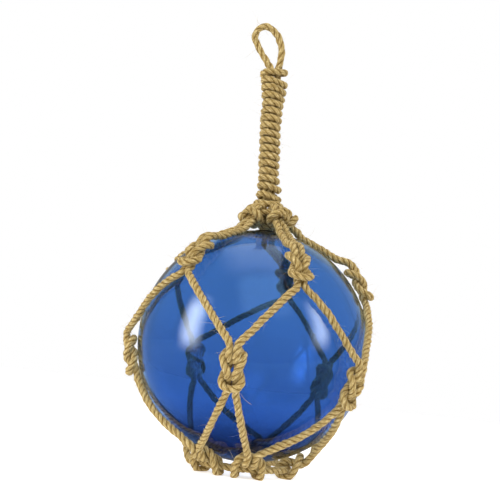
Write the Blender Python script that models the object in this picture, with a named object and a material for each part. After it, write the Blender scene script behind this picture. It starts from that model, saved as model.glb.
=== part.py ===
"""Glass float ball in a knotted jute net, with a bound rope handle and a hanging loop.

The net is made of real pieces of rope. Five doubled hangers are hitched on a collar
ring above the ball. Two zigzag ropes run round the ball, the upper one reef-knotted to
the hangers and to the lower one, and the lower one is hitched on a base ring below the
ball. The handle rope passes under the collar ring and ends in the hanging loop, and a
whipping rope binds it. Units are metres, +Z is up, and the float stands on its five
base hitches, whose undersides are pressed flat at Z 0.
"""

import math

import bmesh
import bpy
import numpy as np

# The glass ball and its seal button
BALL_R = 0.075
SEAL_R = 0.0085
SEAL_HEIGHT = 0.0011

# The rope, and the clearance that neighbouring pieces keep
ROPE_D = 0.0042
CLEARANCE = 0.0003
PITCH = ROPE_D + CLEARANCE

# Knots of the net on the ball: azimuth from the front, latitude, and stand-off in metres
UPPER_KNOTS = ((-43.0, 40.5, 0.0), (21.0, 38.5, 0.0), (86.0, 36.0, 0.002), (162.0, 39.5, 0.0),
               (244.0, 40.0, 0.0))
MIDDLE_KNOTS = ((-7.5, -11.5, 0.0), (54.0, -14.5, 0.0), (136.0, -14.5, 0.0), (212.0, -11.0, 0.0),
                (275.0, -11.0, 0.0))
BASE_HITCHES = (9.0, 83.0, 160.0, 238.0, -37.0)
STRAND_STEP = 1.7 * PITCH

# The base ring under the ball
BASE_RING_R = 0.031
FOOT_PRESS = 0.0009

# The collar ring above the ball, and where the hangers are hitched on it
COLLAR_R = 2.82 * PITCH
COLLAR_GAP = 0.0115
COLLAR_HEIGHT = BALL_R + COLLAR_GAP
COLLAR_HITCHES = (-39.5, 26.5, 92.5, 173.5, 239.5)
HANGER_SLOPE = 39.0
BRIDLE_GAPS = (-80.0, 133.0)

# One side of the bridle round the collar ring, as pitches outward and up from the ring's middle
BRIDLE_SIDE = ((-1.75, -1.55), (-0.75, -1.3), (0.3, -1.08), (1.02, -0.4), (0.9, 0.5), (0.1, 1.06),
               (-0.9, 1.1), (-1.75, 1.35))

# The handle's axis as (X, height above the collar ring)
HANDLE_AXIS = ((0.0, 0.0065), (-0.0008, 0.0145), (-0.0026, 0.0305), (-0.0040, 0.0475), (-0.0052, 0.0635),
               (-0.0052, 0.0785), (-0.0054, 0.0875), (-0.0063, 0.0955), (-0.0069, 0.1005))
HANDLE_TOP = HANDLE_AXIS[-1]

# The two core strands in the handle: their half spacing, their turn at heights above the collar ring, and
# how far they run past the whipping's lowest turn and stop short of the handle's top
CORE_SPREAD = 0.53 * PITCH
CORE_TURN = ((-78.0, 0.0095), (0.0, 0.0275), (0.0, 0.0745), (-88.0, 0.0955))
CORE_TAIL = 0.1 * PITCH
CORE_TOP_GAP = 0.3 * PITCH
CORE_STATIONS = 16

# The whipping: its turns fill the handle from their start to the handle's top. The last turn is level and
# lifted off the one below
WHIPPING_START = 2.38 * PITCH
WHIPPING_RISE = 1.14 * PITCH
WHIPPING_TURNS = math.floor((HANDLE_TOP[1] - WHIPPING_START) / WHIPPING_RISE)
WHIPPING_SLANT = 16.0
WHIPPING_FIT = 1.13 * PITCH
WHIPPING_SQUARENESS = 1.7
FINISH_LIFT = 0.32 * PITCH
TURN_POINTS = 8

# The whipping's neck turn, spread over the collar's hitches, as turns before the start, pitches outward
# from the handle's axis and pitches above the collar ring
NECK = ((-0.875, 1.9, 1.98), (-0.73, 1.97, 2.13), (-0.6, 1.97, 2.0), (-0.5, 1.95, 1.95), (-0.38, 1.97, 1.94),
        (-0.25, 2.1, 1.9), (-0.14, 1.86, 2.08))

# The hanging loop as (X, height) from the handle's top: its left foot, over the top, its right foot
LOOP = ((-0.0051, 0.0035), (-0.0093, 0.0092), (-0.0138, 0.0166), (-0.0155, 0.0217), (-0.0129, 0.0268),
        (-0.0081, 0.0284), (-0.0027, 0.0260), (0.0019, 0.0195), (0.0039, 0.0115), (0.0037, 0.0035))

# How finely the pieces are faceted
ROPE_SIDES = 5
STEP_TURN = math.radians(45)
STEP_LENGTH = 0.013
BASE_RING_POINTS = 24
COLLAR_RING_POINTS = 20
BALL_SEGMENTS = 26
BALL_BANDS = 13
SEAL_BANDS = 3

# Half of a reef knot: one bight as (across, off the ball, up), in rope pitches. The other bight lies the
# other way up, and the depths of the two, off the ball, add up to REEF_DEPTH
REEF_DEPTH = 2.04
REEF_HALF = ((-0.65, 1.53, 3.1), (-0.53, 1.51, 1.64), (-0.52, 0.97, 0.97), (-0.65, 0.66, 0.56),
             (-1.02, 0.5, 0.04), (-1.52, 0.78, -1.12), (-1.23, 1.33, -1.87), (-0.69, 1.54, -2.19),
             (0.0, 1.53, -2.26))

# Half of a ring hitch on the base ring, which runs across at HITCH_RING off the ball
HITCH_RING = 1.5
HITCH_HALF = ((-0.65, 1.1, 3.7), (-0.53, 1.53, 2.55), (-0.52, 1.48, 1.6), (-0.53, 0.55, 0.45),
              (-0.68, 0.65, -0.8), (-1.0, 1.5, -1.22), (-1.38, 2.4, -0.75), (-1.58, 2.55, 0.25),
              (-1.68, 1.65, 1.28), (-1.2, 0.75, 1.95), (0.0, 0.5, 2.15))

# Half of a hanger's hitch on the collar ring: (across, off the hanger's slope, down the slope)
COLLAR_HALF = ((-0.65, -0.35, 4.45), (-0.63, -0.08, 3.02), (-0.53, -0.05, 1.85), (-0.54, 1.1, 0.4),
               (-0.52, 0.68, -0.91), (-0.52, -0.48, -1.02), (-0.52, -1.34, 0.2), (-0.72, -1.07, 1.15),
               (-1.58, -0.12, 1.65), (-1.35, 0.97, 1.92), (0.0, 1.46, 1.75))


def material(name, color, roughness):
    """A Principled material with one plain colour."""
    made = bpy.data.materials.new(name)
    made.use_nodes = True
    shader = made.node_tree.nodes["Principled BSDF"]
    shader.inputs["Base Color"].default_value = (*color, 1.0)
    shader.inputs["Roughness"].default_value = roughness
    shader.inputs["Metallic"].default_value = 0.0
    return made


def mirrored(half):
    """A whole path from its left half, whose last point is on the mirror plane."""
    left = np.array(half, float)
    right = left[-2::-1] * (-1.0, 1.0, 1.0)
    return np.vstack([left, right])


def smooth_curve(points, closed, per_span=14):
    """Points along a Catmull-Rom curve through the given points."""
    p = np.asarray(points, float)
    if closed:
        before, here, after, beyond = (np.roll(p, k, axis=0) for k in (1, 0, -1, -2))
    else:
        e = np.vstack([2 * p[0] - p[1], p, 2 * p[-1] - p[-2]])
        before, here, after, beyond = e[:-3], e[1:-2], e[2:-1], e[3:]
    before, here, after, beyond = (v[:, None, :] for v in (before, here, after, beyond))
    t = np.linspace(0, 1, per_span, endpoint=False)[None, :, None]
    linear = after - before
    square = 2 * before - 5 * here + 4 * after - beyond
    cube = 3 * here - before - 3 * after + beyond
    curve = (0.5 * (2 * here + linear * t + square * t**2 + cube * t**3)).reshape(-1, 3)
    return curve if closed else np.vstack([curve, p[-1]])


def facet_points(curve, closed):
    """Fewer points on a fine curve: closer together where it bends, so that facets follow it."""
    line = np.vstack([curve, curve[:1]]) if closed else curve
    step = np.diff(line, axis=0)
    length = np.linalg.norm(step, axis=1)
    way = step / length[:, None]
    turned = np.linalg.norm(np.diff(way, axis=0), axis=1)
    turn = np.zeros(len(length))
    turn[1:] += turned / 2
    turn[:-1] += turned / 2
    cost = np.concatenate([[0], np.cumsum(np.hypot(turn / STEP_TURN, length / STEP_LENGTH))])
    count = int(math.ceil(cost[-1]))
    wanted = np.linspace(0, cost[-1], count + 1)
    if closed:
        wanted = wanted[:-1]
    return np.column_stack([np.interp(wanted, cost, line[:, k]) for k in range(3)])


def rope_mesh(name, points, closed):
    """A closed tube of ROPE_SIDES sides along the points, with flat ends if it is open."""
    count = len(points)
    if closed:
        tangent = np.roll(points, -1, axis=0) - np.roll(points, 1, axis=0)
    else:
        tangent = np.gradient(points, axis=0)
    tangent /= np.linalg.norm(tangent, axis=1)[:, None]
    side = np.cross(tangent[0], (0.3, 0.5, 0.8))
    sides = [side / np.linalg.norm(side)]
    for k in range(1, count):
        side = sides[-1] - tangent[k] * sides[-1].dot(tangent[k])
        sides.append(side / np.linalg.norm(side))
    sides = np.array(sides)
    ups = np.cross(tangent, sides)
    twist = 0.0
    if closed:
        last = sides[-1] - tangent[0] * sides[-1].dot(tangent[0])
        twist = math.atan2(last.dot(ups[0]), last.dot(sides[0]))
    bm = bmesh.new()
    rings = []
    for k in range(count):
        turn = -twist * k / count
        ring = []
        for s in range(ROPE_SIDES):
            angle = turn + math.tau * s / ROPE_SIDES
            offset = sides[k] * math.cos(angle) + ups[k] * math.sin(angle)
            ring.append(bm.verts.new(points[k] + offset * ROPE_D / 2))
        rings.append(ring)
    spans = count if closed else count - 1
    for k in range(spans):
        here, there = rings[k], rings[(k + 1) % count]
        for s in range(ROPE_SIDES):
            t = (s + 1) % ROPE_SIDES
            bm.faces.new((here[s], here[t], there[t], there[s]))
    if not closed:
        bm.faces.new(rings[0][::-1])
        bm.faces.new(rings[-1])
    bmesh.ops.recalc_face_normals(bm, faces=bm.faces)
    mesh = bpy.data.meshes.new(name)
    bm.to_mesh(mesh)
    bm.free()
    return mesh


def knot_frame(azimuth, latitude):
    """Directions across, off the ball and up, at a place on the ball."""
    a, b = math.radians(azimuth), math.radians(latitude)
    across = np.array((math.cos(a), math.sin(a), 0.0))
    off = np.array((math.cos(b) * math.sin(a), -math.cos(b) * math.cos(a), math.sin(b)))
    return across, off, np.cross(across, off) * -1.0


def on_ball(path, azimuth, latitude, lift=0.0):
    """Bend a knot's flat path, in rope pitches, round the ball at the given place."""
    across, off, up = knot_frame(azimuth, latitude)
    flat = np.asarray(path, float) * PITCH
    reach = np.hypot(flat[:, 0], flat[:, 2])
    angle = reach / BALL_R
    share = np.sin(angle) / np.maximum(reach, 1e-9)
    way = off * np.cos(angle)[:, None] + (across * flat[:, :1] + up * flat[:, 2:]) * share[:, None]
    return way * (BALL_R + CLEARANCE / 2 + lift + flat[:, 1:2])


def strand(start, end):
    """Points between two knots: straight where the ball allows it, else bent round the ball."""
    touch = BALL_R + CLEARANCE + ROPE_D / 2
    r0, r1 = np.linalg.norm(start), np.linalg.norm(end)
    d0, d1 = start / r0, end / r1
    whole = math.acos(np.clip(d0.dot(d1), -1, 1))
    free0 = math.acos(min(1.0, touch / r0))
    free1 = math.acos(min(1.0, touch / r1))
    count = max(2, round(whole * BALL_R / STRAND_STEP))
    t = np.linspace(0, 1, count + 1)[1:-1]
    if free0 + free1 >= whole:
        return start + (end - start) * t[:, None]
    angle = whole * t
    share0 = np.sin(whole - angle) / math.sin(whole)
    share1 = np.sin(angle) / math.sin(whole)
    way = d0 * share0[:, None] + d1 * share1[:, None]
    lifted = np.maximum(0, np.maximum(free0 - angle, free1 - (whole - angle)))
    return way * (touch / np.cos(lifted))[:, None]


def joined(pieces):
    """A closed rope's points: its knots in order, with a strand from each to the next."""
    points = []
    for k, piece in enumerate(pieces):
        after = pieces[(k + 1) % len(pieces)]
        points.append(piece)
        points.append(strand(piece[-1], after[0]))
    return np.vstack(points)


def reef_lower(path):
    """The other bight of a reef knot: the first one turned half round the across axis."""
    return np.column_stack([path[:, 0], REEF_DEPTH - path[:, 1], -path[:, 2]])


def at_collar(path, azimuth):
    """Place a hanger's hitch, in rope pitches, on the collar ring."""
    a, b = math.radians(azimuth), math.radians(HANGER_SLOPE)
    across = np.array((math.cos(a), math.sin(a), 0.0))
    outward = np.array((math.sin(a), -math.cos(a), 0.0))
    rise = np.array((0.0, 0.0, 1.0))
    off = outward * math.sin(b) + rise * math.cos(b)
    down = outward * math.cos(b) - rise * math.sin(b)
    ring = outward * COLLAR_R + rise * COLLAR_HEIGHT
    p = np.asarray(path, float) * PITCH
    return ring + across * p[:, :1] + off * p[:, 1:2] + down * p[:, 2:]


def ring_points(radius, height, count):
    """Points round a level ring on the net's axis."""
    a = np.linspace(0, math.tau, count, endpoint=False)
    return np.column_stack([radius * np.sin(a), -radius * np.cos(a), np.full(count, height)])


def base_latitude():
    """Latitude at which the base ring lies off the ball by its place in the hitches."""
    return -math.degrees(math.acos(BASE_RING_R / (BALL_R + CLEARANCE / 2 + HITCH_RING * PITCH)))


def base_ring_height():
    """Height of the base ring, which is below the ball's centre."""
    return math.sin(math.radians(base_latitude())) * (BALL_R + CLEARANCE / 2 + HITCH_RING * PITCH)


def base_ring_points():
    """The ring under the ball, which all the base hitches hold."""
    return ring_points(BASE_RING_R, base_ring_height(), BASE_RING_POINTS)


def collar_ring_points():
    """The ring above the ball, which all the hangers hold."""
    return ring_points(COLLAR_R, COLLAR_HEIGHT, COLLAR_RING_POINTS)


def hanger_points(knot, hitch_azimuth):
    """A doubled hanger: its bight in the upper knot and its hitch on the collar ring."""
    bight = on_ball(mirrored(REEF_HALF), *knot)
    hitch = at_collar(mirrored(COLLAR_HALF), hitch_azimuth)[::-1]
    return joined([bight, hitch])


def upper_mesh_points():
    """The zigzag between the upper and the middle knots."""
    reef = mirrored(REEF_HALF)
    pieces = []
    for upper, middle in zip(UPPER_KNOTS, MIDDLE_KNOTS):
        pieces.append(on_ball(reef_lower(reef), *upper))
        pieces.append(on_ball(reef, *middle))
    return joined(pieces)


def lower_mesh_points():
    """The zigzag between the middle knots and the hitches on the base ring."""
    reef = mirrored(REEF_HALF)
    hitch = mirrored(HITCH_HALF)
    pieces = []
    for middle, azimuth in zip(MIDDLE_KNOTS, BASE_HITCHES):
        pieces.append(on_ball(reef_lower(reef), *middle))
        pieces.append(on_ball(hitch, azimuth, base_latitude()))
    return joined(pieces)


def axis_at(height):
    """X of the handle's axis at a height above the collar ring."""
    xs, heights = zip(*HANDLE_AXIS)
    return np.interp(height, heights, xs)


def core_way(height):
    """Direction, as X and Y, from the handle's axis to the core strand that starts at the front."""
    turns, heights = zip(*CORE_TURN)
    a = np.radians(np.interp(height, heights, turns))
    return np.column_stack([np.sin(a), -np.cos(a)])


def bridle_side(azimuth):
    """One side of the bridle: under the collar ring, up outside it and in over its top."""
    a = math.radians(azimuth)
    outward = np.array((math.sin(a), -math.cos(a), 0.0))
    section = np.array(BRIDLE_SIDE) * PITCH + (COLLAR_R, COLLAR_HEIGHT)
    return outward * section[:, :1] + np.array((0.0, 0.0, 1.0)) * section[:, 1:]


def handle_points():
    """The handle rope: under the collar ring, up through the whipping and over the hanging loop."""
    left, right = (bridle_side(azimuth) for azimuth in BRIDLE_GAPS)
    heights = np.linspace(WHIPPING_START - CORE_TAIL, HANDLE_TOP[1] - CORE_TOP_GAP, CORE_STATIONS)
    axis = np.column_stack([axis_at(heights), 0 * heights, COLLAR_HEIGHT + heights])
    reach = np.column_stack([core_way(heights) * CORE_SPREAD, 0 * heights])
    loop = np.array([(HANDLE_TOP[0] + x, 0.0, COLLAR_HEIGHT + HANDLE_TOP[1] + rise) for x, rise in LOOP])
    return np.vstack([left, axis + reach, loop, (axis - reach)[::-1], right[::-1]])


def whipping_points():
    """Turns that bind the two core strands, each turn fitted round both and slanting to the right."""
    t = np.arange(WHIPPING_TURNS * TURN_POINTS + 1) / TURN_POINTS
    angle = math.tau * t + math.pi
    last = np.clip(2 * (t - WHIPPING_TURNS) + 2.5, 0, 1)
    last = last * last * (3 - 2 * last)
    height = WHIPPING_START + WHIPPING_RISE * t + FINISH_LIFT * last
    turn_way = np.column_stack([np.sin(angle), -np.cos(angle)])
    slant = math.tan(math.radians(WHIPPING_SLANT)) * (1 - last)
    way = core_way(height - slant * turn_way[:, 0] * WHIPPING_FIT)
    stretch = np.clip(WHIPPING_SQUARENESS * (turn_way * way).sum(axis=1), -1, 1)[:, None]
    flat = turn_way * WHIPPING_FIT + way * stretch * CORE_SPREAD
    across = axis_at(height) + flat[:, 0]
    rise = COLLAR_HEIGHT + height - slant * flat[:, 0]
    turns = np.column_stack([across, flat[:, 1], rise])
    early, outward, up = np.array(NECK).T
    angle = math.tau * early + math.pi
    neck = np.column_stack([np.sin(angle) * outward, -np.cos(angle) * outward, up]) * PITCH
    return np.vstack([neck + (axis_at(WHIPPING_START), 0, COLLAR_HEIGHT), turns])


def ball_profile():
    """Radius and height up the ball's side: the sphere, then the rounded seal button on top."""
    seal_angle = math.asin(SEAL_R / BALL_R)
    profile = []
    for k in range(1, BALL_BANDS + 1):
        angle = math.pi - (math.pi - seal_angle) * k / BALL_BANDS
        profile.append((BALL_R * math.sin(angle), BALL_R * math.cos(angle)))
    for k in range(1, SEAL_BANDS + 1):
        share = k / (SEAL_BANDS + 1)
        reach = BALL_R + SEAL_HEIGHT * math.sin(share * math.pi / 2)
        angle = seal_angle * math.cos(share * math.pi / 2)
        profile.append((reach * math.sin(angle), reach * math.cos(angle)))
    return profile


def ball_mesh():
    """The sealed ball, turned from its profile, with the seal button on top of it."""
    bm = bmesh.new()
    bottom = bm.verts.new((0, 0, -BALL_R))
    top = bm.verts.new((0, 0, BALL_R + SEAL_HEIGHT))
    turns = [math.tau * s / BALL_SEGMENTS for s in range(BALL_SEGMENTS)]
    rings = []
    for radius, height in ball_profile():
        rings.append([bm.verts.new((radius * math.cos(a), radius * math.sin(a), height)) for a in turns])
    for s in range(BALL_SEGMENTS):
        t = (s + 1) % BALL_SEGMENTS
        bm.faces.new((bottom, rings[0][t], rings[0][s]))
        bm.faces.new((top, rings[-1][s], rings[-1][t]))
        for lower, upper in zip(rings, rings[1:]):
            bm.faces.new((lower[s], lower[t], upper[t], upper[s]))
    bmesh.ops.recalc_face_normals(bm, faces=bm.faces)
    mesh = bpy.data.meshes.new("glass_ball")
    bm.to_mesh(mesh)
    bm.free()
    return mesh


def press_flat(mesh, level):
    """Cut a rope's undersides off at a level and close them with flat faces."""
    bm = bmesh.new()
    bm.from_mesh(mesh)
    whole = bm.verts[:] + bm.edges[:] + bm.faces[:]
    cut = bmesh.ops.bisect_plane(bm, geom=whole, plane_co=(0, 0, level), plane_no=(0, 0, 1), clear_inner=True)
    edges = [e for e in cut["geom_cut"] if isinstance(e, bmesh.types.BMEdge)]
    bmesh.ops.edgenet_fill(bm, edges=edges)
    bmesh.ops.recalc_face_normals(bm, faces=bm.faces)
    bm.to_mesh(mesh)
    bm.free()


def add(name, mesh, finish, parent):
    """Put a mesh in the scene as one named piece, shaded smooth."""
    mesh.materials.append(finish)
    mesh.shade_smooth()
    piece = bpy.data.objects.new(name, mesh)
    piece.parent = parent
    bpy.context.scene.collection.objects.link(piece)
    return piece


def add_rope(name, points, finish, parent, closed=True):
    """A rope piece on a smooth curve through the points, faceted and put in the scene."""
    fine = smooth_curve(points, closed)
    return add(name, rope_mesh(name, facet_points(fine, closed), closed), finish, parent)


def add_ring(name, points, finish, parent):
    """A level rope ring with a facet ring at each of its points."""
    return add(name, rope_mesh(name, points, True), finish, parent)


def main():
    for old in list(bpy.data.objects):
        bpy.data.objects.remove(old, do_unlink=True)
    centre = bpy.data.objects.new("float_centre", None)
    bpy.context.scene.collection.objects.link(centre)

    glass = material("blown_cobalt_glass", (0.035, 0.12, 0.45), 0.05)
    jute = material("twisted_jute", (0.52, 0.38, 0.19), 0.9)

    add("glass_ball", ball_mesh(), glass, centre)

    ropes = []
    for number, (knot, azimuth) in enumerate(zip(UPPER_KNOTS, COLLAR_HITCHES), start=1):
        ropes.append(add_rope(f"hanger_{number}", hanger_points(knot, azimuth), jute, centre))
    ropes.append(add_rope("upper_mesh_rope", upper_mesh_points(), jute, centre))
    lower = add_rope("lower_mesh_rope", lower_mesh_points(), jute, centre)
    ropes.append(lower)
    ropes.append(add_ring("base_ring", base_ring_points(), jute, centre))
    ropes.append(add_ring("collar_ring", collar_ring_points(), jute, centre))
    ropes.append(add_rope("handle_rope", handle_points(), jute, centre))
    ropes.append(add_rope("handle_whipping", whipping_points(), jute, centre, closed=False))

    foot = min(v.co.z for v in lower.data.vertices) + FOOT_PRESS
    press_flat(lower.data, foot)
    spots = np.array([v.co[:] for rope in ropes for v in rope.data.vertices])
    middle = (spots.min(axis=0) + spots.max(axis=0)) / 2
    centre.location = (-middle[0], -middle[1], -foot)


main()
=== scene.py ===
"""Looks of the glass float ball in its jute net: laid rope, stray fibres, hollow cobalt glass, studio light.

Every rope is three laid strands along its CAD node's route, drawn a little tighter at the knots and at
the collar. The ball is a hollow shell. Lengths are metres unless a comment says otherwise, +Z is up and
the front faces -Y.
"""

import math

import bpy
import numpy as np
from mathutils import Matrix


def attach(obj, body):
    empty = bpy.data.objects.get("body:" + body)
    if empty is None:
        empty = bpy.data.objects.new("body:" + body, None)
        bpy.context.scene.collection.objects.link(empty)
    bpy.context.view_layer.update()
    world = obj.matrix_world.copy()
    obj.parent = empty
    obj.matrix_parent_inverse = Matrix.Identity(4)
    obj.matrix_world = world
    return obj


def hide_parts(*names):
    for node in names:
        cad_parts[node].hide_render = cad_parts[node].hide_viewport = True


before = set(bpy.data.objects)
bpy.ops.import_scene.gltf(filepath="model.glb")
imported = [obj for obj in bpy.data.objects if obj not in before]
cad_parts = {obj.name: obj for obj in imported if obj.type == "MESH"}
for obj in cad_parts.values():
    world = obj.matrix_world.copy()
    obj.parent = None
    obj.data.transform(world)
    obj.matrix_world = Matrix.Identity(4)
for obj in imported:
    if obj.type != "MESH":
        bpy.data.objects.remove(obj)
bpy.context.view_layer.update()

# Place of the ball's centre, where the CAD stands it
CENTRE = np.array((0.004244, 0.003926, 0.081604))

# The glass, and its skins' meshes: points round, and rings below the seal, over the seal and inside
BALL_R = 0.075
WALL = 0.0025
SEAL_R = 0.0085
SEAL_HEIGHT = 0.0011
SHELL_SEGMENTS = 160
OUTER_RINGS = 90
SEAL_RINGS = 26
INNER_RINGS = 100

# The rope: the CAD's spacing, and the laid rope's own radius and lay
ROPE_D = 0.0042
CLEARANCE = 0.0003
PITCH = ROPE_D + CLEARANCE
ROPE_R = 0.00232
NET_LAY = 0.0120
LOOP_LAY = 0.0185

# The laid skin: its mesh, a fixed direction that its sides start square to, its height off the floor
# where it rests, the groove between strands as a share of the radius, the groove's power, and the
# strands' unevenness as (share of the radius, rings)
RING_STEP = 0.00075
ROPE_SIDES = 24
SIDE_START = (0.31, 0.52, 0.80)
FLOOR_GAP = 0.0001
GROOVE = 0.21
GROOVE_POWER = 2.4
SWELLS = ((0.06, 7), (0.045, 2))

# Knots of the net on the ball: azimuth from the front, latitude, and stand-off
UPPER_KNOTS = ((-43.0, 40.5, 0.0), (21.0, 38.5, 0.0), (86.0, 36.0, 0.002), (162.0, 39.5, 0.0),
               (244.0, 40.0, 0.0))
MIDDLE_KNOTS = ((-7.5, -11.5, 0.0), (54.0, -14.5, 0.0), (136.0, -14.5, 0.0), (212.0, -11.0, 0.0),
                (275.0, -11.0, 0.0))
BASE_HITCHES = (9.0, 83.0, 160.0, 238.0, -37.0)
STRAND_STEP = 1.7 * PITCH
BASE_RING_R = 0.031

# The collar ring, its hitches and the bridle's side, as pitches outward and up from the ring's middle
COLLAR_R = 2.82 * PITCH
COLLAR_HEIGHT = BALL_R + 0.0115
COLLAR_HITCHES = (-39.5, 26.5, 92.5, 173.5, 239.5)
HANGER_SLOPE = 39.0
BRIDLE_GAPS = (-80.0, 133.0)
BRIDLE_SIDE = ((-1.75, -1.55), (-0.75, -1.3), (0.3, -1.08), (1.02, -0.4), (0.9, 0.5), (0.1, 1.06),
               (-0.9, 1.1), (-1.75, 1.35))

# The handle's axis as (X, height above the collar ring), its core strands and its whipping
HANDLE_AXIS = ((0.0, 0.0065), (-0.0008, 0.0145), (-0.0026, 0.0305), (-0.0040, 0.0475), (-0.0052, 0.0635),
               (-0.0052, 0.0785), (-0.0054, 0.0875), (-0.0063, 0.0955), (-0.0069, 0.1005))
HANDLE_TOP = HANDLE_AXIS[-1]
CORE_SPREAD = 0.53 * PITCH
CORE_TURN = ((-78.0, 0.0095), (0.0, 0.0275), (0.0, 0.0745), (-88.0, 0.0955))
CORE_TAIL = 0.1 * PITCH
CORE_TOP_GAP = 0.3 * PITCH
CORE_STATIONS = 16
WHIPPING_START = 2.38 * PITCH
WHIPPING_RISE = 1.14 * PITCH
WHIPPING_TURNS = math.floor((HANDLE_TOP[1] - WHIPPING_START) / WHIPPING_RISE)
WHIPPING_SLANT = 16.0
WHIPPING_FIT = 1.13 * PITCH
WHIPPING_SQUARENESS = 1.7
TURN_POINTS = 16

# The whipping's last turns rise and lie level, from this many turns before the end and over this many
FINISH_LIFT = 0.32 * PITCH
FINISH_START = 1.25
FINISH_SPAN = 0.5

# Where a hanger's legs come down on to the ball above its knot, and how far the right knot's stand-off
# gives as its rope settles
HANGER_REST = (-0.62, 0.62, 4.6)
KNOT_SETTLE = 0.0012

# A knot's width once its rope packs, and how far its waist draws in, over how many pitches up and down
KNOT_WIDTH = 0.88
WAIST_PINCH = 0.3
WAIST_REACH = 1.1

# The fuzz: fibres on each metre, their lean off the rope, the lean and run along it together, their
# scatter and curl, mean, least and greatest length, radius, how deep they root as a share of the rope's
# radius, how far they thin, and their crown value, the palest end of the painted groove shade
FIBRES_PER_METRE = 1500
FIBRE_LEAN = (0.12, 0.9)
FIBRE_RUN = 1.15
FIBRE_SCATTER = 0.25
FIBRE_CURL = 0.32
FIBRE_MEAN = 0.0017
FIBRE_LENGTHS = (0.0008, 0.008)
FIBRE_RADII = (0.00003, 0.00007)
FIBRE_ROOT = 0.85
FIBRE_TAPER = 0.75
FIBRE_CROWN = 1.1

# The two longest stray fibres, at the front middle knot: (azimuth, latitude, lift off the ball)
STRAY_R = 0.00008
LONG_STRAYS = (((-5.4, -3.7, 0.0065), (-5.2, -1.5, 0.0068), (-3.9, 0.3, 0.0071), (-2.0, 0.8, 0.0074)),
               ((-3.0, -20.8, 0.0065), (-1.7, -22.3, 0.0068), (0.0, -23.6, 0.0071), (2.2, -24.8, 0.0074)))

# The soft ropes draw in where they crowd round the collar, by this share over this height, and the neck
# sinks on to them
COLLAR_PINCH = 0.2
COLLAR_REACH = 0.014
NECK_SINK = 0.0024
NECK_HEIGHT = 0.0095
NECK_REACH = 0.005

# The whipping's neck turn: turns before its start, pitches outward and pitches above the collar ring
NECK = ((-0.875, 1.9, 1.98), (-0.73, 1.97, 2.13), (-0.6, 1.97, 2.0), (-0.5, 1.95, 1.95), (-0.38, 1.97, 1.94),
        (-0.25, 2.1, 1.9), (-0.14, 1.86, 2.08))

# The hanging loop as (X, height) from the handle's top
LOOP = ((-0.0051, 0.0035), (-0.0093, 0.0092), (-0.0138, 0.0166), (-0.0155, 0.0217), (-0.0129, 0.0268),
        (-0.0081, 0.0284), (-0.0027, 0.0260), (0.0019, 0.0195), (0.0039, 0.0115), (0.0037, 0.0035))

# Half of each knot's path, in rope pitches: (across, off the ball, up), and on the collar
# (across, off the hanger's slope, down the slope)
REEF_DEPTH = 2.04
REEF_HALF = ((-0.65, 1.53, 3.1), (-0.53, 1.51, 1.64), (-0.52, 0.97, 0.97), (-0.65, 0.66, 0.56),
             (-1.02, 0.5, 0.04), (-1.52, 0.78, -1.12), (-1.23, 1.33, -1.87), (-0.69, 1.54, -2.19),
             (0.0, 1.53, -2.26))
HITCH_RING = 1.5
HITCH_HALF = ((-0.65, 1.1, 3.7), (-0.53, 1.53, 2.55), (-0.52, 1.48, 1.6), (-0.53, 0.55, 0.45),
              (-0.68, 0.65, -0.8), (-1.0, 1.5, -1.22), (-1.38, 2.4, -0.75), (-1.58, 2.55, 0.25),
              (-1.68, 1.65, 1.28), (-1.2, 0.75, 1.95), (0.0, 0.5, 2.15))
COLLAR_HALF = ((-0.65, -0.35, 4.45), (-0.63, -0.08, 3.02), (-0.53, -0.05, 1.85), (-0.54, 1.1, 0.4),
               (-0.52, 0.68, -0.91), (-0.52, -0.48, -1.02), (-0.52, -1.34, 0.2), (-0.72, -1.07, 1.15),
               (-1.58, -0.12, 1.65), (-1.35, 0.97, 1.92), (0.0, 1.46, 1.75))

# The studio: the paper's half width, front and back edges and glow, then where the world's brightness
# eases in, as parts of a direction backwards and upwards, and what it is in front, below and mirrored
FLOOR_HALF = 1.5
FLOOR_FRONT = -0.3
FLOOR_BACK = 1.2
FLOOR_GLOW = 0.6
EASE_BEHIND = (0.45, 0.9)
EASE_ABOVE = (-0.5, -0.1)
WORLD_FRONT = 0.2
WORLD_UNDER = 0.3
WORLD_MIRRORED = 0.35

# The camera: the photograph's width and focal length in its pixels, ball radii in front of and below the
# ball's centre, its roll in degrees, and its aim left of and above the ball in pixels
PHOTO_WIDTH = 500
FOCAL = 912
CAMERA_BACK = 8.0
CAMERA_LOW = 0.1
CAMERA_ROLL = 6.5
CAMERA_AIM = (3, 95)
SENSOR = 36.0


# Routes of the ropes

def mirrored(half):
    """A whole path from its left half, whose last point is on the mirror plane."""
    left = np.array(half, float)
    return np.vstack([left, left[-2::-1] * (-1.0, 1.0, 1.0)])


def smooth_curve(points, closed, per_span=16):
    """Catmull-Rom curve: on each span, half of (2 p1 + (p2 - p0) t + (2 p0 - 5 p1 + 4 p2 - p3) t^2
    + (3 p1 - p0 - 3 p2 + p3) t^3)."""
    p = np.asarray(points, float)
    if closed:
        before, here, after, beyond = (np.roll(p, k, axis=0) for k in (1, 0, -1, -2))
    else:
        e = np.vstack([2 * p[0] - p[1], p, 2 * p[-1] - p[-2]])
        before, here, after, beyond = e[:-3], e[1:-2], e[2:-1], e[3:]
    before, here, after, beyond = (v[:, None, :] for v in (before, here, after, beyond))
    t = np.linspace(0, 1, per_span, endpoint=False)[None, :, None]
    linear = after - before
    square = 2 * before - 5 * here + 4 * after - beyond
    cube = 3 * here - before - 3 * after + beyond
    curve = (0.5 * (2 * here + linear * t + square * t**2 + cube * t**3)).reshape(-1, 3)
    return curve if closed else np.vstack([curve, p[-1]])


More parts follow.
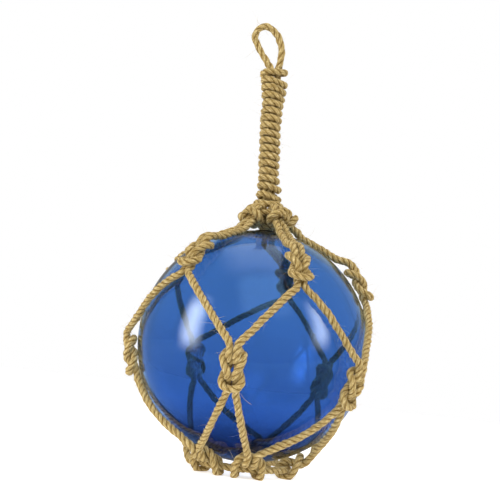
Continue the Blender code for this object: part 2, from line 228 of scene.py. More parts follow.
def knot_frame(azimuth, latitude):
    """Directions across, off the ball and up, at a place on the ball."""
    a, b = math.radians(azimuth), math.radians(latitude)
    across = np.array((math.cos(a), math.sin(a), 0.0))
    off = np.array((math.cos(b) * math.sin(a), -math.cos(b) * math.cos(a), math.sin(b)))
    return across, off, np.cross(off, across)


def on_ball(path, azimuth, latitude, lift=0.0):
    """Bend a knot's flat path round the ball: its reach from the knot's middle becomes an arc."""
    across, off, up = knot_frame(azimuth, latitude)
    flat = np.asarray(path, float) * PITCH
    reach = np.hypot(flat[:, 0], flat[:, 2])
    angle = reach / BALL_R
    share = np.sin(angle) / np.maximum(reach, 1e-9)
    way = off * np.cos(angle)[:, None] + (across * flat[:, :1] + up * flat[:, 2:]) * share[:, None]
    return way * (BALL_R + CLEARANCE / 2 + lift + flat[:, 1:2])


def strand_between(start, end):
    """Points between two knots: straight where the ball allows it, else bent round the ball."""
    touch = BALL_R + CLEARANCE + ROPE_D / 2
    r0, r1 = np.linalg.norm(start), np.linalg.norm(end)
    d0, d1 = start / r0, end / r1
    whole = math.acos(np.clip(d0.dot(d1), -1, 1))
    free0 = math.acos(min(1.0, touch / r0))
    free1 = math.acos(min(1.0, touch / r1))
    count = max(2, round(whole * BALL_R / STRAND_STEP))
    t = np.linspace(0, 1, count + 1)[1:-1]
    if free0 + free1 >= whole:
        return start + (end - start) * t[:, None]
    angle = whole * t
    share0 = np.sin(whole - angle) / math.sin(whole)
    share1 = np.sin(angle) / math.sin(whole)
    way = d0 * share0[:, None] + d1 * share1[:, None]
    lifted = np.maximum(0, np.maximum(free0 - angle, free1 - (whole - angle)))
    return way * (touch / np.cos(lifted))[:, None]


def joined(pieces):
    """A closed rope's points: its knots in order, with a strand from each to the next."""
    points = []
    for k, piece in enumerate(pieces):
        points += [piece, strand_between(piece[-1], pieces[(k + 1) % len(pieces)][0])]
    return np.vstack(points)


def drawn_tight(path):
    """A knot as its soft rope packs: across times the knot's width, and at its waist times
    1 - pinch exp(-(up / reach)^2)."""
    waist = KNOT_WIDTH * (1 - WAIST_PINCH * np.exp(-(path[:, 2] / WAIST_REACH) ** 2))
    return np.column_stack([path[:, 0] * waist, path[:, 1:]])


def reef_lower(path):
    """The other bight of a reef knot: the first one turned half round the across axis."""
    return np.column_stack([path[:, 0], REEF_DEPTH - path[:, 1], -path[:, 2]])


def at_collar(path, azimuth):
    """Place a hanger's hitch on the collar ring, leaning down the hanger's slope."""
    a, b = math.radians(azimuth), math.radians(HANGER_SLOPE)
    across = np.array((math.cos(a), math.sin(a), 0.0))
    outward = np.array((math.sin(a), -math.cos(a), 0.0))
    rise = np.array((0.0, 0.0, 1.0))
    off = outward * math.sin(b) + rise * math.cos(b)
    down = outward * math.cos(b) - rise * math.sin(b)
    p = np.asarray(path, float) * PITCH
    return outward * COLLAR_R + rise * COLLAR_HEIGHT + across * p[:, :1] + off * p[:, 1:2] + down * p[:, 2:]


def ring_points(radius, height, count=32):
    """Points round a level ring on the net's axis."""
    a = np.linspace(0, math.tau, count, endpoint=False)
    return np.column_stack([radius * np.sin(a), -radius * np.cos(a), np.full(count, height)])


def base_latitude():
    """Latitude at which the base ring lies off the ball by its place in the hitches."""
    return -math.degrees(math.acos(BASE_RING_R / (BALL_R + CLEARANCE / 2 + HITCH_RING * PITCH)))


def settled(knot):
    """A knot's place with its stand-off eased."""
    azimuth, latitude, lift = knot
    return azimuth, latitude, max(0.0, lift - KNOT_SETTLE)


def hanger_points(knot, hitch_azimuth):
    """A doubled hanger: its bight in the upper knot and its hitch on the collar ring."""
    bight = on_ball(drawn_tight(mirrored((HANGER_REST,) + REEF_HALF)), *settled(knot))
    return joined([bight, at_collar(mirrored(COLLAR_HALF), hitch_azimuth)[::-1]])


def upper_mesh_points():
    """The zigzag between the upper and the middle knots."""
    reef = drawn_tight(mirrored(REEF_HALF))
    pieces = []
    for upper, middle in zip(UPPER_KNOTS, MIDDLE_KNOTS):
        pieces += [on_ball(reef_lower(reef), *settled(upper)), on_ball(reef, *middle)]
    return joined(pieces)


def lower_mesh_points():
    """The zigzag between the middle knots and the hitches on the base ring."""
    reef = drawn_tight(mirrored(REEF_HALF))
    pieces = []
    for middle, azimuth in zip(MIDDLE_KNOTS, BASE_HITCHES):
        pieces += [on_ball(reef_lower(reef), *middle),
                   on_ball(mirrored(HITCH_HALF), azimuth, base_latitude())]
    return joined(pieces)


def axis_at(height):
    """X of the handle's axis at a height above the collar ring."""
    xs, heights = zip(*HANDLE_AXIS)
    return np.interp(height, heights, xs)


def core_way(height):
    """Direction, as X and Y, from the handle's axis to the core strand that starts at the front."""
    turns, heights = zip(*CORE_TURN)
    a = np.radians(np.interp(height, heights, turns))
    return np.column_stack([np.sin(a), -np.cos(a)])


def bridle_side(azimuth):
    """One side of the bridle: under the collar ring, up outside it and in over its top."""
    a = math.radians(azimuth)
    outward = np.array((math.sin(a), -math.cos(a), 0.0))
    section = np.array(BRIDLE_SIDE) * PITCH + (COLLAR_R, COLLAR_HEIGHT)
    return outward * section[:, :1] + np.array((0.0, 0.0, 1.0)) * section[:, 1:]


def handle_points():
    """The handle rope: under the collar ring, up through the whipping and over the hanging loop."""
    left, right = (bridle_side(azimuth) for azimuth in BRIDLE_GAPS)
    heights = np.linspace(WHIPPING_START - CORE_TAIL, HANDLE_TOP[1] - CORE_TOP_GAP, CORE_STATIONS)
    axis = np.column_stack([axis_at(heights), 0 * heights, COLLAR_HEIGHT + heights])
    reach = np.column_stack([core_way(heights) * CORE_SPREAD, 0 * heights])
    loop = np.array([(HANDLE_TOP[0] + x, 0.0, COLLAR_HEIGHT + HANDLE_TOP[1] + rise) for x, rise in LOOP])
    return np.vstack([left, axis + reach, loop, (axis - reach)[::-1], right[::-1]])


def whipping_points():
    """Turns that bind the two core strands, each turn fitted round both and slanting to the right, under
    a finish that eases in by 3 x^2 - 2 x^3."""
    t = np.arange(WHIPPING_TURNS * TURN_POINTS + 1) / TURN_POINTS
    angle = math.tau * t + math.pi
    last = np.clip((t - WHIPPING_TURNS + FINISH_START) / FINISH_SPAN, 0, 1)
    last = last * last * (3 - 2 * last)
    height = WHIPPING_START + WHIPPING_RISE * t + FINISH_LIFT * last
    turn_way = np.column_stack([np.sin(angle), -np.cos(angle)])
    slant = math.tan(math.radians(WHIPPING_SLANT)) * (1 - last)
    way = core_way(height - slant * turn_way[:, 0] * WHIPPING_FIT)
    stretch = np.clip(WHIPPING_SQUARENESS * (turn_way * way).sum(axis=1), -1, 1)[:, None]
    flat = turn_way * WHIPPING_FIT + way * stretch * CORE_SPREAD
    across = axis_at(height) + flat[:, 0]
    turns = np.column_stack([across, flat[:, 1], COLLAR_HEIGHT + height - slant * flat[:, 0]])
    early, outward, up = np.array(NECK).T
    angle = math.tau * early + math.pi
    neck = np.column_stack([np.sin(angle) * outward, -np.cos(angle) * outward, up]) * PITCH
    return np.vstack([neck + (axis_at(WHIPPING_START), 0, COLLAR_HEIGHT), turns])


# Surfaces

def evened(curve, closed):
    """Points at even spacing along a fine curve, each then softened with its neighbours (1 2 1) / 4."""
    line = np.vstack([curve, curve[:1]]) if closed else curve
    along = np.concatenate([[0], np.cumsum(np.linalg.norm(np.diff(line, axis=0), axis=1))])
    wanted = np.linspace(0, along[-1], int(round(along[-1] / RING_STEP)) + 1)
    even = np.column_stack([np.interp(wanted, along, line[:, k]) for k in range(3)])
    if closed:
        even = even[:-1]
        return (np.roll(even, 1, axis=0) + 2 * even + np.roll(even, -1, axis=0)) / 4
    even[1:-1] = (even[:-2] + 2 * even[1:-1] + even[2:]) / 4
    return even


def rope_frames(line):
    """Tangent, side and up along a line. Sides start square to one fixed direction, and each is turned
    back by the running sum of the angles by which the next plane twists, so the frame never spins."""
    tangent = np.gradient(line, axis=0)
    tangent /= np.linalg.norm(tangent, axis=1)[:, None]
    side = np.cross(tangent, SIDE_START)
    side /= np.linalg.norm(side, axis=1)[:, None]
    up = np.cross(tangent, side)
    carried = side[:-1] - tangent[1:] * (side[:-1] * tangent[1:]).sum(axis=1)[:, None]
    angle = np.arctan2((carried * up[1:]).sum(axis=1), (carried * side[1:]).sum(axis=1))
    turn = np.concatenate([[0], np.cumsum(angle)])[:, None]
    return tangent, side * np.cos(turn) + up * np.sin(turn), up * np.cos(turn) - side * np.sin(turn)


def soft_noise(count, grain, rng, closed):
    """Random values softened over some neighbours by exp(-(distance / grain)^2), with a spread of 1."""
    reach = np.arange(-2 * grain, 2 * grain + 1)
    padded = np.pad(rng.standard_normal(count), 2 * grain, mode="wrap" if closed else "reflect")
    soft = np.convolve(padded, np.exp(-(reach / grain) ** 2), mode="valid")
    return soft / soft.std()


def tube_faces(rows, columns, closed):
    """Quads of a tube whose points run ring by ring, facing outwards."""
    r, c = np.meshgrid(np.arange(rows if closed else rows - 1), np.arange(columns), indexing="ij")
    s, n = (r + 1) % rows, (c + 1) % columns
    quads = np.stack([r * columns + c, r * columns + n, s * columns + n, s * columns + c], axis=-1)
    return quads.reshape(-1, 4)


def build_mesh(name, points, faces, uv=None, crown=None):
    """A mesh from a point array and arrays of faces, with a UV per corner and a crown value per point."""
    mesh = bpy.data.meshes.new(name)
    corners = np.concatenate([f.ravel() for f in faces]).astype(np.int32)
    sizes = np.concatenate([np.full(len(f), f.shape[1]) for f in faces])
    starts = np.concatenate([[0], np.cumsum(sizes)[:-1]]).astype(np.int32)
    mesh.vertices.add(len(points))
    mesh.vertices.foreach_set("co", np.asarray(points, np.float32).ravel())
    mesh.loops.add(len(corners))
    mesh.loops.foreach_set("vertex_index", corners)
    mesh.polygons.add(len(sizes))
    mesh.polygons.foreach_set("loop_start", starts)
    mesh.update(calc_edges=True)
    if uv is not None:
        mesh.uv_layers.new(name="UVMap").uv.foreach_set("vector", np.asarray(uv, np.float32).ravel())
    if crown is not None:
        held = mesh.attributes.new("crown", "FLOAT", "POINT")
        held.data.foreach_set("value", np.asarray(crown, np.float32))
    mesh.shade_smooth()
    return mesh


class Parts:
    """Points, faces, UVs and crowns of one piece, gathered tube by tube."""

    def __init__(self):
        self.points, self.faces, self.uvs, self.crowns, self.count = [], [], [], [], 0

    def add(self, points, faces, uvs, crowns):
        self.points.append(points)
        self.faces += [f + self.count for f in faces]
        self.uvs += uvs
        self.crowns.append(crowns)
        self.count += len(points)

    def mesh(self, name):
        return build_mesh(name, np.vstack(self.points), self.faces, np.vstack(self.uvs),
                          np.concatenate(self.crowns))


def lay_rope(parts, line, closed, lay, rng):
    """A rope of three laid strands. In the plane square to the line, a strand's crown is at the angle
    2 pi (i / 3 + 1 / 6 + s / lay), and with x from -1 to 1 across the strand the skin is at the radius
    R (1 - groove |x|^power + swell (1 - x^2)), where swell varies softly along each strand. Where the
    rope rests it is pressed flat, just clear of the floor."""
    whole = np.vstack([line[-1:], line, line[:2]]) if closed else line
    tangent, side, up = rope_frames(whole)
    if closed:
        whole, tangent, side, up = whole[1:-1], tangent[1:-1], side[1:-1], up[1:-1]
    along = np.concatenate([[0], np.cumsum(np.linalg.norm(np.diff(whole, axis=0), axis=1))])
    turn = math.tau * along / lay
    if closed:
        spin = math.atan2(side[-1].dot(up[0]), side[-1].dot(side[0]))
        turn *= (math.tau * round((turn[-1] + spin) / math.tau) - spin) / turn[-1]
        whole, tangent, side, up, turn = whole[:-1], tangent[:-1], side[:-1], up[:-1], turn[:-1]
    rows = len(whole)
    each = ROPE_SIDES // 3
    column = np.arange(ROPE_SIDES)
    x = (column % each) / each * 2 - 1
    swell = np.stack([sum(share * soft_noise(rows, grain, rng, closed) for share, grain in SWELLS)
                      for strand in range(3)], axis=1)[:, column // each]
    high = 1 - GROOVE * np.abs(x) ** GROOVE_POWER + swell * (1 - x**2)
    angle = turn[:, None] + math.tau * column / ROPE_SIDES
    way = side[:, None] * np.cos(angle)[..., None] + up[:, None] * np.sin(angle)[..., None]
    surface = whole[:, None] + way * (ROPE_R * high)[..., None]
    surface[..., 2] = np.maximum(surface[..., 2], FLOOR_GAP)
    quads = tube_faces(rows, ROPE_SIDES, closed)
    row, place = np.divmod(np.arange(len(quads)), ROPE_SIDES)
    width = math.tau * ROPE_R / ROPE_SIDES
    u0, u1, v0, v1 = along[row], along[row + 1], place * width, (place + 1) * width
    faces, uvs = [quads], [np.stack([u0, v0, u0, v1, u1, v1, u1, v0], axis=-1).reshape(-1, 2)]
    if not closed:
        faces += [column[None, ::-1], column[None] + (rows - 1) * ROPE_SIDES]
        uvs += [np.zeros((ROPE_SIDES, 2)), np.full((ROPE_SIDES, 2), along[-1])]
    # Each point's crown value, 1 on a strand's crown and 0 in its grooves, masks the rope's painted groove
    # shade
    parts.add(surface.reshape(-1, 3), faces, uvs, np.tile(1 - x**2, rows))
    return whole, tangent, side, up


def fibre_tubes(parts, root, way, bend, length, radius, across, rng):
    """Fibres: root + length (way k + bend k^2) for k from 0 to 1, three-sided and thinning by
    1 - taper k."""
    count, rings, sides = len(root), 5, 3
    k = np.linspace(0, 1, rings)[None, :, None]
    line = root[:, None] + length[:, None, None] * (way[:, None] * k + bend[:, None] * k**2)
    second = np.cross(way, across)
    angle = np.linspace(0, math.tau, sides, endpoint=False)
    ring = across[:, None] * np.cos(angle)[None, :, None] + second[:, None] * np.sin(angle)[None, :, None]
    thick = radius[:, None, None, None] * (1 - FIBRE_TAPER * k[..., None])
    surface = line[:, :, None] + ring[:, None] * thick
    each = (np.arange(count) * rings * sides)[:, None, None]
    quads = (tube_faces(rings, sides, False)[None] + each).reshape(-1, 4)
    ends = np.array([[2, 1, 0], [sides * (rings - 1), sides * (rings - 1) + 1, sides * (rings - 1) + 2]])
    caps = (ends[None] + each).reshape(-1, 3)
    tone = rng.uniform(0, 1, count)
    place = np.column_stack([tone, tone * 0.7])
    uvs = [np.repeat(place, 4 * sides * (rings - 1), axis=0), np.repeat(place, 2 * sides, axis=0)]
    parts.add(surface.reshape(-1, 3), [quads, caps], uvs, np.full(count * rings * sides, FIBRE_CROWN))


def unit(v):
    """Vectors scaled to length 1."""
    return v / np.linalg.norm(v, axis=-1, keepdims=True)


def drawn_in(line):
    """Ropes at the collar, with h the height above it: drawn in to the net's axis by
    1 - pinch exp(-(h / reach)^2), and sunk by sink exp(-((h - neck height) / neck reach)^2)."""
    h = line[:, 2:] - COLLAR_HEIGHT
    near = 1 - COLLAR_PINCH * np.exp(-((h / COLLAR_REACH) ** 2))
    sunk = NECK_SINK * np.exp(-(((h - NECK_HEIGHT) / NECK_REACH) ** 2))
    return np.column_stack([line[:, :2] * near, line[:, 2:] - sunk])


def stray_fibres(parts, whole, tangent, side, up, rng):
    """Fuzz on a rope: fibres that leave its skin at random places, each along the direction
    outward lean + ahead (run - lean) + scatter, curling, and turned upwards near the floor."""
    count = int(len(whole) * RING_STEP * FIBRES_PER_METRE)
    at = rng.integers(2, len(whole) - 2, count)
    angle = rng.uniform(0, math.tau, count)[:, None]
    outward = side[at] * np.cos(angle) + up[at] * np.sin(angle)
    ahead = tangent[at] * rng.choice((-1.0, 1.0), count)[:, None]
    lean = rng.uniform(*FIBRE_LEAN, count)[:, None]
    way = unit(outward * lean + ahead * (FIBRE_RUN - lean) + rng.normal(0, FIBRE_SCATTER, (count, 3)))
    across = unit(np.cross(way, rng.normal(0, 1, (count, 3))))
    bend = rng.normal(0, FIBRE_CURL, (count, 3))
    length = np.clip(rng.exponential(FIBRE_MEAN, count) + FIBRE_LENGTHS[0], *FIBRE_LENGTHS)
    radius = rng.uniform(*FIBRE_RADII, count)
    root = whole[at] + outward * ROPE_R * FIBRE_ROOT
    root[:, 2] = np.maximum(root[:, 2], 5 * FLOOR_GAP)
    low = root[:, 2] < 2 * length
    way[low, 2], bend[low, 2] = np.abs(way[low, 2]), np.abs(bend[low, 2])
    fibre_tubes(parts, root, way, bend, length, radius, across, rng)


def long_strays(parts, routes):
    """Single long fibres, each a thin square tube along a curve through its points
    (azimuth, latitude, lift)."""
    for route in routes:
        points = [knot_frame(a, b)[1] * (BALL_R + lift) + CENTRE for a, b, lift in route]
        line = evened(smooth_curve(points, False), False)
        tangent, side, up = rope_frames(line)
        angle = np.linspace(0, math.tau, 4, endpoint=False)[None, :, None]
        surface = line[:, None] + (side[:, None] * np.cos(angle) + up[:, None] * np.sin(angle)) * STRAY_R
        quads = tube_faces(len(line), 4, False)
        caps = np.array([[3, 2, 1, 0], [4 * len(line) - 4 + k for k in range(4)]])
        count = 4 * (len(quads) + len(caps))
        crowns = np.full(4 * len(line), FIBRE_CROWN)
        parts.add(surface.reshape(-1, 3), [quads, caps], [np.zeros((count, 2))], crowns)


def rope_piece(node, points, closed, lay, seed, finish, strays=()):
    """A laid rope with its fuzz along a CAD rope's route, in place of that node."""
    rng = np.random.default_rng(seed)
    line = evened(drawn_in(smooth_curve(points, closed)), closed) + CENTRE
    parts = Parts()
    stray_fibres(parts, *lay_rope(parts, line, closed, lay, rng), rng)
    long_strays(parts, strays)
    show(parts.mesh(node + "_laid"), node, finish)


def show(mesh, node, finish):
    """Put a mesh in the scene as the piece that stands for one CAD node."""
    mesh.materials.append(finish)
    piece = bpy.data.objects.new(mesh.name, mesh)
    bpy.context.scene.collection.objects.link(piece)
    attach(piece, "root")
    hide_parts(node)
    return piece


def turned_skin(reach, angle, inward):
    """A profile, from the lower pole to the upper, turned round the upright axis: reach is the distance
    from the middle and angle is taken from the upper pole."""
    segments = SHELL_SEGMENTS
    profile = np.column_stack([reach * np.sin(angle), reach * np.cos(angle)])
    turn = np.linspace(0, math.tau, segments, endpoint=False)
    r, z = profile[1:-1, :1], profile[1:-1, 1:]
    rings = np.stack([r * np.cos(turn), r * np.sin(turn), z + 0 * turn], axis=-1).reshape(-1, 3)
    points = np.vstack([rings, (0, 0, profile[0, 1]), (0, 0, profile[-1, 1])])
    ring, after = np.arange(segments), (np.arange(segments) + 1) % segments
    last = len(rings) - segments
    quads = tube_faces(len(profile) - 2, segments, False)
    low = np.column_stack([after, ring, np.full(segments, len(rings))])
    high = np.column_stack([last + ring, last + after, np.full(segments, len(rings) + 1)])
    if inward:
        quads, low, high = quads[:, ::-1], low[:, ::-1], high[:, ::-1]
    return points, quads, np.vstack([low, high])


def hollow_ball(finish):
    """The blown shell: an outer sphere, with its top swelled to the seal button by h b^2 (3 - 2 b), where
    b = sqrt(1 - (angle / seal angle)^2), and an inner sphere one wall inside it."""
    seal = math.asin(SEAL_R / BALL_R)
    # From a little outside the seal button the rings are closer together
    below = np.linspace(0, math.pi - 1.3 * seal, OUTER_RINGS)
    over_seal = math.pi - seal * np.linspace(1.25, 0, SEAL_RINGS)
    angle = math.pi - np.concatenate([below, over_seal])
    button = np.sqrt(np.clip(1 - (angle / seal) ** 2, 0, 1))
    reach = BALL_R + SEAL_HEIGHT * button**2 * (3 - 2 * button)
    outer = turned_skin(reach, angle, False)
    inner = turned_skin(BALL_R - WALL, np.linspace(math.pi, 0, INNER_RINGS), True)
    count = len(outer[0])
    points = np.vstack([outer[0], inner[0]]) + CENTRE
    faces = [np.vstack([outer[1], inner[1] + count]), np.vstack([outer[2], inner[2] + count])]
    shell = show(build_mesh("glass_ball_shell", points, faces), "glass_ball", finish)
    # Clear glass lets the light through to the ropes behind it
    shell.visible_shadow = False


# Materials

def linear(hex_code):
    """Linear colour of an sRGB hex code: ((c + 0.055) / 1.055)^2.4, or c / 12.92 below 0.04045."""
    c = np.array([int(hex_code[k:k + 2], 16) for k in (1, 3, 5)]) / 255
    return (*np.where(c > 0.04045, ((c + 0.055) / 1.055) ** 2.4, c / 12.92), 1.0)


def add_node(tree, kind, settings=(), stops=(), **links):
    """Add a node, set its properties, a colour ramp's also by its stops of (place, hex colour), and give
    each input, by name or number, a value or a socket."""
    node = tree.nodes.new(kind)
    for name, value in dict(settings).items():
        setattr(node, name, value)
    for k, (place, colour) in enumerate(stops):
        element = node.color_ramp.elements[k] if k < 2 else node.color_ramp.elements.new(place)
        element.position, element.color = place, linear(colour)
    for name, value in links.items():
        key = int(name[1:]) if name[0] == "i" and name[1:].isdigit() else name.replace("_", " ")
        if isinstance(value, bpy.types.NodeSocket):
            tree.links.new(value, node.inputs[key])
        else:
            node.inputs[key].default_value = value
    return node


def new_material(name):
    """An empty material with its Principled shader joined to the output."""
    made = bpy.data.materials.new(name)
    made.use_nodes = True
    tree = made.node_tree
    tree.nodes.clear()
    shader = add_node(tree, "ShaderNodeBsdfPrincipled")
    add_node(tree, "ShaderNodeOutputMaterial", i0=shader.outputs[0])
    return made, tree, shader


def laid_jute():
    """Jute rope, retted bast fibre spun and laid in three strands: pale straw with greyer and browner
    lengths, yarns that show as grains along the rope, dark specks between them that are partly painted
    shade in the grain's hollows with painted highlight on its ridges, painted shade in the grooves
    between the strands, and a dry, fuzzy sheen."""
    made, tree, shader = new_material("laid_jute_rope")
    place = add_node(tree, "ShaderNodeUVMap", {"uv_map": "UVMap"}).outputs[0]
    spot = add_node(tree, "ShaderNodeTexCoord").outputs["Object"]
    # The yarns are turned 31 degrees from the run of their strand. Fibres are 0.05 mm wide, too fine to
    # show: the grains are 0.6 mm wide and 3 mm long
    grain_place = add_node(tree, "ShaderNodeMapping", {"vector_type": "TEXTURE"}, Vector=place,
                           Rotation=(0, 0, math.radians(-31)), Scale=(0.0030, 0.0006, 1)).outputs[0]
    grain = add_node(tree, "ShaderNodeTexNoise", Vector=grain_place, Scale=1.0, Detail=4.0,
                     Roughness=0.75).outputs[0]
    # Tone changes every 9 mm or so along the rope, as the stock does
    tone = add_node(tree, "ShaderNodeTexNoise", Vector=spot, Scale=1 / 0.009, Detail=2.0).outputs[0]
    stock = add_node(tree, "ShaderNodeValToRGB", i0=tone, stops=(
        (0.32, "#B39B62"), (0.5, "#C4AD76"), (0.68, "#D3C08E"))).outputs[0]
    # Partly the yarns' own tone and partly painted light: the grain's dark specks are painted shade in the
    # hollows of its bump, and its palest streaks are painted highlight on its ridges
    grain_tone_and_shade = add_node(tree, "ShaderNodeValToRGB", i0=grain, stops=(
        (0.34, "#4E3A1A"), (0.44, "#A38853"), (0.54, "#CBB47C"), (0.65, "#F6ECC8"))).outputs[0]
    body = add_node(tree, "ShaderNodeMix", {"data_type": "RGBA"}, i0=0.8, i6=stock, i7=grain_tone_and_shade).outputs[2]
    # Painted shade: the grooves between the strands, where the crown value is low, are darkened, and the
    # crowns and fibres are kept palest
    crown = add_node(tree, "ShaderNodeAttribute", {"attribute_name": "crown"}).outputs["Fac"]
    painted_groove_shade = add_node(tree, "ShaderNodeValToRGB", i0=crown, stops=(
        (0.0, "#8C7853"), (0.35, "#DACDAC"), (0.8, "#FFFBEE"))).outputs[0]
    colour = add_node(tree, "ShaderNodeMix", {"data_type": "RGBA", "blend_type": "MULTIPLY"}, i0=1.0, i6=body,
                      i7=painted_groove_shade).outputs[2]
    tree.links.new(colour, shader.inputs["Base Color"])
    bump = add_node(tree, "ShaderNodeBump", Height=grain, Strength=0.9, Distance=0.0008)
    tree.links.new(bump.outputs[0], shader.inputs["Normal"])
    shader.inputs["Roughness"].default_value = 0.9
    shader.inputs["Specular IOR Level"].default_value = 0.2
    shader.inputs["Sheen Weight"].default_value = 0.2
    shader.inputs["Sheen Roughness"].default_value = 0.5
    shader.inputs["Sheen Tint"].default_value = linear("#F2E6C4")
    return made


def blown_cobalt_glass():
    """Cobalt soda-lime glass, blown: see-through deep blue that tints once at each skin, a mirror-smooth
    fire polish, and slow waves that bend the reflections a little."""
    made, tree, shader = new_material("blown_cobalt_glass")
    spot = add_node(tree, "ShaderNodeTexCoord").outputs["Object"]
    # Waves left by the blowing, about 45 mm across
    wave = add_node(tree, "ShaderNodeTexNoise", Vector=spot, Scale=1 / 0.045, Detail=1.0).outputs[0]
    bump = add_node(tree, "ShaderNodeBump", Height=wave, Strength=0.15, Distance=0.004)
    tree.links.new(bump.outputs[0], shader.inputs["Normal"])
    # Painted shade: the blue is palest at the top and darkens towards the bottom, where the glass is shaded
    level = add_node(tree, "ShaderNodeSeparateXYZ", Vector=spot).outputs[2]
    share = add_node(tree, "ShaderNodeMapRange", Value=level, From_Min=CENTRE[2] - BALL_R,
                     From_Max=CENTRE[2] + BALL_R).outputs[0]
    shaded_blue = add_node(tree, "ShaderNodeValToRGB", i0=share, stops=(
        (0.0, "#203868"), (0.1, "#3F6298"), (0.22, "#6690CB"), (0.6, "#78A3D6"), (1.0, "#7BA7D6"))).outputs[0]
    tree.links.new(shaded_blue, shader.inputs["Base Color"])
    shader.inputs["Roughness"].default_value = 0.0
    shader.inputs["IOR"].default_value = 1.5
    shader.inputs["Transmission Weight"].default_value = 1.0
    return made


def studio_floor():
    """White translucent studio paper, matt and without grain, lit a little from below."""
    made, _, shader = new_material("white_studio_paper")
    shader.inputs["Base Color"].default_value = linear("#F4F4F4")
    shader.inputs["Emission Color"].default_value = linear("#FFFFFF")
    shader.inputs["Emission Strength"].default_value = FLOOR_GLOW
    shader.inputs["Roughness"].default_value = 0.9
    return made


# The pieces

jute = laid_jute()
glass = blown_cobalt_glass()

hollow_ball(glass)
# Each rope has a seed of its own, the number before its material
for number, (knot, azimuth) in enumerate(zip(UPPER_KNOTS, COLLAR_HITCHES), start=1):
    rope_piece(f"hanger_{number}", hanger_points(knot, azimuth), True, NET_LAY, number, jute)
rope_piece("upper_mesh_rope", upper_mesh_points(), True, NET_LAY, 11, jute)
rope_piece("lower_mesh_rope", lower_mesh_points(), True, NET_LAY, 12, jute, LONG_STRAYS)
base_height = math.sin(math.radians(base_latitude())) * (BALL_R + CLEARANCE / 2 + HITCH_RING * PITCH)
rope_piece("base_ring", ring_points(BASE_RING_R, base_height), True, NET_LAY, 13, jute)
rope_piece("collar_ring", ring_points(COLLAR_R, COLLAR_HEIGHT), True, NET_LAY, 14, jute)
rope_piece("handle_rope", handle_points(), True, LOOP_LAY, 15, jute)
rope_piece("handle_whipping", whipping_points(), False, NET_LAY, 16, jute)


# Stage: floor, world, lights and camera

def studio():
    """White paper on the floor from just in front of the float to well behind it, and surroundings that
    are seen white, that light the float brightly from behind and dimly elsewhere, and that mirror
    faintly in its rim."""
    rim = np.array([(-FLOOR_HALF, FLOOR_FRONT, 0.0), (FLOOR_HALF, FLOOR_FRONT, 0.0),
                    (FLOOR_HALF, FLOOR_BACK, 0.0), (-FLOOR_HALF, FLOOR_BACK, 0.0)])
    mesh = build_mesh("paper_floor", rim, [np.arange(4)[None]])
    mesh.materials.append(studio_floor())
    floor = bpy.data.objects.new("paper_floor", mesh)
    bpy.context.scene.collection.objects.link(floor)
    floor.visible_glossy = False

    world = bpy.data.worlds.new("white_surroundings")
    world.use_nodes = True
    tree = world.node_tree
    way = add_node(tree, "ShaderNodeTexCoord").outputs["Generated"]
    split = add_node(tree, "ShaderNodeSeparateXYZ", Vector=way)
    kind = add_node(tree, "ShaderNodeLightPath").outputs
    bright = 1.0
    for part, (low, high), least in ((1, EASE_BEHIND, WORLD_FRONT), (2, EASE_ABOVE, WORLD_UNDER)):
        eased = add_node(tree, "ShaderNodeMapRange", {"interpolation_type": "SMOOTHSTEP"}, From_Min=low,
                         From_Max=high, To_Min=least, To_Max=1.0, Value=split.outputs[part]).outputs[0]
        bright = add_node(tree, "ShaderNodeMath", {"operation": "MULTIPLY"}, i0=bright, i1=eased).outputs[0]
    faint = add_node(tree, "ShaderNodeMapRange", Value=kind["Is Glossy Ray"], To_Min=1.0,
                     To_Max=WORLD_MIRRORED).outputs[0]
    bright = add_node(tree, "ShaderNodeMath", {"operation": "MULTIPLY"}, i0=bright, i1=faint).outputs[0]
    for ray in ("Is Camera Ray", "Is Transmission Ray"):
        bright = add_node(tree, "ShaderNodeMath", {"operation": "MAXIMUM"}, i0=bright,
                          i1=kind[ray]).outputs[0]
    tree.links.new(bright, tree.nodes["Background"].inputs["Strength"])
    tree.nodes["Background"].inputs["Color"].default_value = linear("#FFFFFF")
    bpy.context.scene.world = world


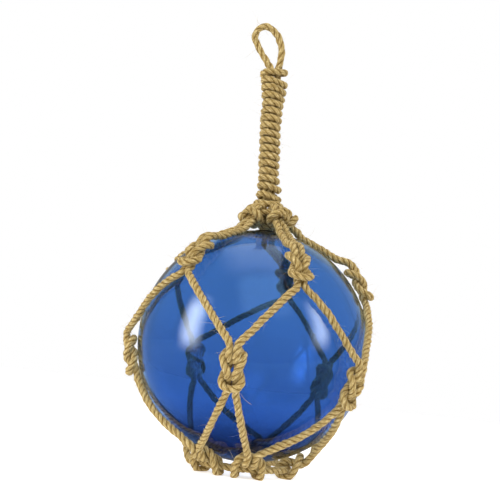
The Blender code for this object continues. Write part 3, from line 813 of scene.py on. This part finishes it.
def softbox(name, azimuth, elevation, distance, width, height, power, fade, highlight=True):
    """A rectangular light that faces the ball from a direction, azimuth 0 at the front. Its cloth
    fades from its middle to each edge, left, right, bottom and top, over that share of its half width.
    One without a highlight lights the rope and doesn't show in the glass."""
    way = knot_frame(azimuth, elevation)[1]
    lamp = bpy.data.lights.new(name, "AREA")
    lamp.shape = "RECTANGLE"
    lamp.size, lamp.size_y, lamp.energy = width, height, power
    lamp.use_nodes = True
    tree = lamp.node_tree
    place = add_node(tree, "ShaderNodeNewGeometry").outputs["Parametric"]
    split = add_node(tree, "ShaderNodeSeparateXYZ", Vector=place)
    strength = 1.0
    for edge, share in enumerate(fade):
        near, far = (0.0, 0.5 * share) if edge % 2 == 0 else (1.0, 1.0 - 0.5 * share)
        step = add_node(tree, "ShaderNodeMapRange", {"interpolation_type": "SMOOTHSTEP"}, From_Min=near,
                        From_Max=far, Value=split.outputs[edge // 2]).outputs[0]
        strength = add_node(tree, "ShaderNodeMath", {"operation": "MULTIPLY"}, i0=strength,
                            i1=step).outputs[0]
    tree.links.new(strength, tree.nodes["Emission"].inputs["Strength"])
    made = bpy.data.objects.new(name, lamp)
    about, tilt = math.radians(azimuth), math.radians(90 - elevation)
    turn = Matrix.Rotation(about, 4, "Z") @ Matrix.Rotation(tilt, 4, "X")
    made.matrix_world = Matrix.Translation(CENTRE + way * distance) @ turn
    made.visible_glossy = highlight
    bpy.context.scene.collection.objects.link(made)


def camera():
    """In front of the ball and a little below its middle: it faces the middle, then its view turns about
    its own axes by the roll, then up and to the left, to put the ball where the photograph has it."""
    held = bpy.data.cameras.new("camera")
    held.sensor_width = SENSOR
    held.lens = SENSOR * FOCAL / PHOTO_WIDTH
    held.clip_start, held.clip_end = 0.01, 50.0
    seen = bpy.data.objects.new("camera", held)
    away = np.array((0.0, -CAMERA_BACK, -CAMERA_LOW)) * BALL_R
    tilt = math.pi / 2 + math.atan(CAMERA_LOW / CAMERA_BACK)
    left, above = (math.atan(shift / FOCAL) for shift in CAMERA_AIM)
    turn = Matrix.Rotation(tilt, 4, "X") @ Matrix.Rotation(math.radians(CAMERA_ROLL), 4, "Z")
    turn = turn @ Matrix.Rotation(above, 4, "X") @ Matrix.Rotation(left, 4, "Y")
    seen.matrix_world = Matrix.Translation(CENTRE + away) @ turn
    bpy.context.scene.collection.objects.link(seen)
    bpy.context.scene.camera = seen


studio()
softbox("left_softbox", -62, 13, 1.0, 0.60, 1.0, 20, (1.0, 1.0, 0.7, 0.7))
softbox("right_softbox", 66, 22, 1.0, 0.55, 0.9, 11, (1.0, 1.0, 0.7, 0.7))
softbox("overhead_softbox", 0, 88, 1.1, 1.4, 1.2, 5, (0.7, 0.7, 1.0, 0.1))
softbox("front_fill", 10, 50, 1.3, 1.4, 1.2, 19, (0.5, 0.5, 0.5, 0.5), False)
bpy.context.scene.view_settings.view_transform = "Standard"
camera()
